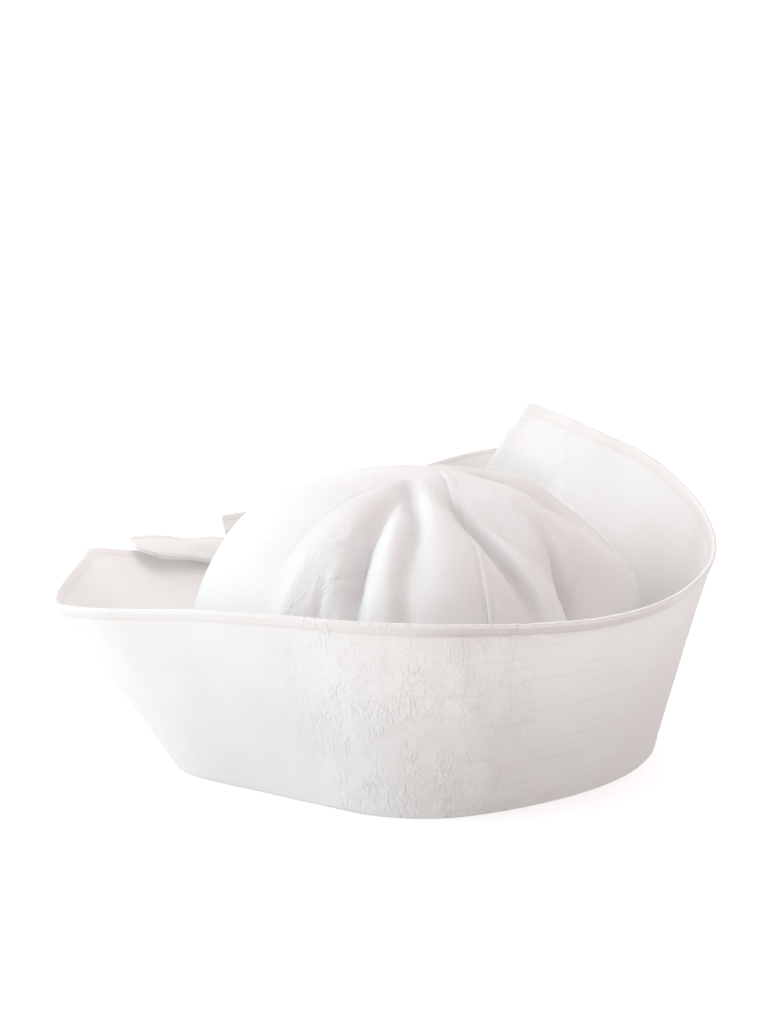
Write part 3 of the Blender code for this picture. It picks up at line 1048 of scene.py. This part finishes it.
# %% [markdown]
# ## What every cotton shares
#
# Cotton is matt, its fibres catch a little light, and some light comes through, which keeps white folds
# bright. So each cotton is a rough Principled shader with some sheen, mixed with a Translucent one.


# %% Start and finish a cotton
CLOTH_THROUGH = 0.32
TAPE_THROUGH = 0.36
BUMP_DISTANCE = 0.0005
Cotton = namedtuple("Cotton", "material tree cloth across along colour crinkle weave")


def use_group(tree, group, **sockets):
    node = tree.nodes.new("ShaderNodeGroup")
    node.node_tree = group
    for label, value in sockets.items():
        if isinstance(value, (int, float, tuple)):
            node.inputs[label].default_value = value
        else:
            tree.links.new(value, node.inputs[label])
    return node


def use_attribute(tree, name):
    node = tree.nodes.new("ShaderNodeAttribute")
    node.attribute_name = name
    return node.outputs["Fac"]


def layered(tree, height, *layers):
    """A height with more heights added, each times its share."""
    for layer, share in layers:
        height = math_node(tree, "MULTIPLY_ADD", layer, share, height)
    return height


def start_cotton(name, light, deep, roughness):
    """A cotton material's tree, cloth coordinates, colour, crinkle and weave."""
    material = bpy.data.materials.new(name)
    material.use_nodes = True
    tree = material.node_tree
    shader = tree.nodes["Principled BSDF"]
    set_inputs(shader, {"Roughness": roughness, "Specular IOR Level": 0.2})
    set_inputs(shader, {"Sheen Weight": 0.15, "Sheen Roughness": 0.6})
    cloth = tree.nodes.new("ShaderNodeUVMap")
    cloth.uv_map = "Cloth"
    place = tree.nodes.new("ShaderNodeTexCoord")
    tone = use_group(tree, TONE, Place=place.outputs["Object"], Light=light, Deep=deep)
    parts = tree.nodes.new("ShaderNodeSeparateXYZ")
    tree.links.new(cloth.outputs["UV"], parts.inputs[0])
    crinkle = use_group(tree, CRINKLE, Cloth=cloth.outputs["UV"])
    weave = use_group(tree, WEAVE, Cloth=cloth.outputs["UV"])
    across, along = parts.outputs["X"], parts.outputs["Y"]
    colour, crinkle, weave = tone.outputs["Color"], crinkle.outputs["Height"], weave.outputs["Height"]
    return Cotton(material, tree, cloth.outputs["UV"], across, along, colour, crinkle, weave)


def finish_cotton(cotton, height, painted_shade, depth, thin):
    """Bumps the surface, darkens the colour in grooves with painted shade and lets a share of the light
    through.
    """
    tree = cotton.tree
    shader = tree.nodes["Principled BSDF"]
    bump = tree.nodes.new("ShaderNodeBump")
    set_inputs(bump, {"Distance": BUMP_DISTANCE, "Strength": 1.0})
    tree.links.new(height, bump.inputs["Height"])
    tree.links.new(bump.outputs["Normal"], shader.inputs["Normal"])
    # Painted shade: where the mask is high, the colour is mixed towards the darker shade colour given as
    # depth.
    mix = tree.nodes.new("ShaderNodeMix")
    mix.data_type = "RGBA"
    mix.inputs["B"].default_value = depth
    tree.links.new(painted_shade, mix.inputs["Factor"])
    tree.links.new(cotton.colour, mix.inputs["A"])
    tree.links.new(mix.outputs["Result"], shader.inputs["Base Color"])
    through = tree.nodes.new("ShaderNodeBsdfTranslucent")
    tree.links.new(mix.outputs["Result"], through.inputs["Color"])
    both = tree.nodes.new("ShaderNodeMixShader")
    both.inputs["Fac"].default_value = thin
    tree.links.new(shader.outputs["BSDF"], both.inputs[1])
    tree.links.new(through.outputs["BSDF"], both.inputs[2])
    tree.links.new(both.outputs["Shader"], tree.nodes["Material Output"].inputs["Surface"])
    return cotton.material


print("cottons let", CLOTH_THROUGH, "and", TAPE_THROUGH, "of the light through")

# %% [markdown]
# ## Quilted cotton
#
# Rows of stitches parallel to the rim hold the brim's layers together and show in patches. The rim's
# hem ends in a stitched groove. Painted shade darkens the hem's band and the stitch grooves, most where
# the rows show. All follows from the way to the rim.


# %% Quilted cotton
QUILT_PITCH = 0.0051
QUILT_WANDER = 0.0012
HEM_STITCH_RISE = 0.0002


def make_quilted():
    cotton = start_cotton("quilted_cotton", (0.93, 0.925, 0.92, 1), (0.90, 0.885, 0.875, 1), 0.92)
    tree = cotton.tree
    clear = use_attribute(tree, "Rows")
    below = minus(tree, cotton.along, HEM - HEM_STITCH_RISE)
    wander = minus(tree, noise_node(tree, cotton.cloth, 35), 0.5)
    row_way = math_node(tree, "ADD", below, times(tree, wander, QUILT_WANDER))
    rows = math_node(tree, "ADD", math_node(tree, "DIVIDE", row_way, QUILT_PITCH), 0.5)
    phase = minus(tree, math_node(tree, "FRACT", rows), 0.5)
    way = times(tree, phase, QUILT_PITCH)
    row = use_group(tree, STITCH, Way=way, Along=cotton.across, Length=QUILT_STITCH)
    hem = use_group(tree, STITCH, Way=below, Along=cotton.across, Length=QUILT_STITCH)
    patches = noise_node(tree, stretched(tree, cotton.cloth, 0, (0.6, 2.0, 1.0)), 95, 1.0)
    pulled = times(tree, smooth_step(tree, patches, 0.42, 0.66), clear)
    stitched = math_node(tree, "GREATER_THAN", below, QUILT_PITCH / 2)
    shown = times(tree, pulled, stitched)
    hem_shown = math_node(tree, "MULTIPLY_ADD", clear, 0.8, 0.2)
    groove = times(tree, row.outputs["Groove"], shown)
    hem_groove = times(tree, hem.outputs["Groove"], hem_shown)
    threads = math_node(tree, "ADD", row.outputs["Thread"], hem.outputs["Thread"])
    thread = times(tree, threads, shown)
    strength = times(tree, use_attribute(tree, "Crumple"), 0.5)
    height = times(tree, cotton.crinkle, strength)
    marks = (groove, -0.30), (hem_groove, -0.5), (thread, 0.15), (cotton.weave, 0.05)
    # Painted shade: the hem's band below the rim and the stitch grooves are darkened in colour, scaled
    # by the Rows mask.
    past_rim = smooth_step(tree, cotton.along, 0.0006, 0.0018)
    past_hem = smooth_step(tree, below, -0.0004, 0.0006)
    band = times(tree, minus(tree, past_rim, past_hem), clear)
    painted_shade = layered(tree, times(tree, band, 0.6), (groove, 0.10), (hem_groove, 0.3))
    height = layered(tree, height, *marks)
    return finish_cotton(cotton, height, painted_shade, (0.70, 0.64, 0.61, 1), CLOTH_THROUGH)


quilted = make_quilted()
print("material:", quilted.name)

# %% [markdown]
# ## Plain cotton
#
# The crown's cotton is a smooth layer, a trace cooler than the brim. Its only stitches run beside the
# seams, at a distance from each gore's first edge.


# %% Plain cotton
WELT_STITCH_INSET = 0.0008


def make_plain():
    cotton = start_cotton("crown_cotton", (0.93, 0.93, 0.935, 1), (0.90, 0.89, 0.885, 1), 0.9)
    tree = cotton.tree
    clear = use_attribute(tree, "Rows")
    way = minus(tree, cotton.across, WELT - WELT_STITCH_INSET)
    row = use_group(tree, STITCH, Way=way, Along=cotton.along, Length=SEAM_STITCH)
    strength = math_node(tree, "MULTIPLY_ADD", use_attribute(tree, "Crumple"), 0.38, 0.04)
    height = times(tree, cotton.crinkle, strength)
    groove = times(tree, row.outputs["Groove"], clear)
    thread = times(tree, row.outputs["Thread"], clear)
    height = layered(tree, height, (groove, -0.3), (thread, 0.25), (cotton.weave, 0.05))
    # Painted shade in the seams' stitch grooves, darkened in colour.
    painted_shade = times(tree, groove, 0.06)
    return finish_cotton(cotton, height, painted_shade, (0.74, 0.7, 0.68, 1), CLOTH_THROUGH)


plain = make_plain()
print("material:", plain.name)

# %% [markdown]
# ## Tape
#
# The ties are a closer cotton tape of a creamier white, hemmed along both edges.


# %% Tape
TAPE_STITCH_INSET = 0.0022


def make_tape():
    cotton = start_cotton("tie_cotton", (0.96, 0.958, 0.95, 1), (0.935, 0.93, 0.91, 1), 0.88)
    tree = cotton.tree
    middle = math_node(tree, "ABSOLUTE", minus(tree, cotton.along, TIE_WIDTH / 2))
    way = minus(tree, middle, TIE_WIDTH / 2 - TAPE_STITCH_INSET)
    row = use_group(tree, STITCH, Way=way, Along=cotton.across, Length=SEAM_STITCH)
    groove, thread = row.outputs["Groove"], row.outputs["Thread"]
    height = times(tree, cotton.crinkle, 0.25)
    height = layered(tree, height, (groove, -0.5), (thread, 0.35), (cotton.weave, 0.08))
    # Painted shade in the grooves of the edge stitches, darkened in colour.
    painted_shade = times(tree, groove, 0.16)
    return finish_cotton(cotton, height, painted_shade, (0.72, 0.67, 0.6, 1), TAPE_THROUGH)


tape = make_tape()
print("material:", tape.name)

# %% [markdown]
# ## Tie the pieces to the solid model
#
# Every piece gets its cotton, rides on the cap's one body and takes the place of its solid.

# %% Ride, slot and replace
rows = [
    (brim, quilted, "brim", "quilted_cotton"),
    (tie_left, tape, "tie_left", "tie_cotton"),
    (tie_right, tape, "tie_right", "tie_cotton"),
]
rows += [(gore, plain, f"crown_gore_{k + 1}", "crown_cotton") for k, gore in enumerate(gores)]
for piece, material, node, slot in rows:
    piece.data.materials.append(material)
    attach(piece, "root")
    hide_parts(node)
print(len(rows), "pieces ride on the root")

# %% [markdown]
# ## Floor
#
# The photo's cap is cut out on plain white, which a glowing floor gives. It glows more for the camera
# than for the cap, so that the cap's lower half keeps its shading.


# %% Floor
SHEET_SIDE = 16.0
FLOOR_GLOW = 0.40
FLOOR_SEEN = 0.22


def make_sheet(name, grey, roughness, material_name):
    """A flat square of paper that gives off white light, with its shader."""
    grid = bmesh.new()
    bmesh.ops.create_grid(grid, x_segments=1, y_segments=1, size=SHEET_SIDE / 2)
    mesh = bpy.data.meshes.new(name)
    grid.to_mesh(mesh)
    grid.free()
    sheet = add_object(name, mesh)
    paper = bpy.data.materials.new(material_name)
    paper.use_nodes = True
    shader = paper.node_tree.nodes["Principled BSDF"]
    set_inputs(shader, {"Base Color": (grey, grey, grey, 1), "Roughness": roughness})
    shader.inputs["Emission Color"].default_value = (1, 1, 1, 1)
    mesh.materials.append(paper)
    return sheet, paper.node_tree, shader


floor, floor_tree, floor_shader = make_sheet("floor", 0.5, 0.95, "floor_paper")
floor_shader.inputs["Specular IOR Level"].default_value = 0.1
seen = floor_tree.nodes.new("ShaderNodeLightPath")
lit = math_node(floor_tree, "MULTIPLY_ADD", seen.outputs["Is Camera Ray"], FLOOR_SEEN, FLOOR_GLOW)
floor_tree.links.new(lit, floor_shader.inputs["Emission Strength"])
print("the floor glows by", FLOOR_GLOW)

# %% [markdown]
# ## Lights
#
# In the photo the left side is nearly white, and the right side and the folds are a warm grey. A large
# cool key light from the left gives that, with weak lights from above and from the front.


# %% Lights
LightRow = namedtuple("LightRow", "name place side power colour")
LIGHTS = [LightRow(*row) for row in (
    ("key", (-1.5, -0.5, 0.55), 1.4, 20, (0.78, 0.96, 1.0)),
    ("top", (0.1, -0.3, 1.6), 1.6, 6, (0.96, 0.98, 1.0)),
    ("front", (0.1, -2.0, 0.6), 1.2, 3, (1.0, 0.99, 0.98)),
)]
LIT_POINT = Vector((0, 0, 0.05))

for row in LIGHTS:
    lamp = bpy.data.lights.new(row.name, "AREA")
    lamp.shape = "SQUARE"
    lamp.size = row.side
    lamp.energy = row.power
    lamp.color = row.colour
    holder = add_object(row.name, lamp)
    holder.location = row.place
    holder.rotation_euler = (LIT_POINT - Vector(row.place)).to_track_quat("-Z", "Y").to_euler()
print(len(LIGHTS), "area lights, the key of", LIGHTS[0].power, "watts")

# %% [markdown]
# ## Backdrop and room
#
# A second white sheet stands behind the cap, and the room round it gives an even, warm light.

# %% Backdrop and room
BACKDROP_AWAY = 2.2
BACKDROP_GLOW = 0.85
ROOM_COLOUR = (1.0, 0.84, 0.81, 1)
ROOM_LIGHT = 0.60

backdrop, _, backdrop_shader = make_sheet("backdrop", 0.9, 0.5, "lit_backdrop")
backdrop.location = (0, BACKDROP_AWAY, 0)
backdrop.rotation_euler = (math.pi / 2, 0, 0)
backdrop_shader.inputs["Emission Strength"].default_value = BACKDROP_GLOW

world = bpy.data.worlds.new("studio")
bpy.context.scene.world = world
world.use_nodes = True
set_inputs(world.node_tree.nodes["Background"], {"Color": ROOM_COLOUR, "Strength": ROOM_LIGHT})
bpy.context.scene.view_settings.view_transform = "Standard"
print("backdrop", BACKDROP_AWAY, "m behind the cap")

# %% [markdown]
# ## Camera
#
# A long lens from the front, a little above, as in the photo, placed from the crown's axis.

# %% Camera
CAMERA_FROM_AXIS = Vector((-0.0157, -1.2357, 0.3966))
CAMERA_PITCH = 13.5
CAMERA_LENS = 110
camera_data = bpy.data.cameras.new("camera")
camera_data.lens = CAMERA_LENS
camera_data.clip_start = 0.05
camera = add_object("camera", camera_data)
camera.location = Vector(AXIS) + CAMERA_FROM_AXIS
camera.rotation_euler = (math.radians(90 - CAMERA_PITCH), 0, 0)
bpy.context.scene.camera = camera
print("camera at", tuple(round(x, 3) for x in camera.location))
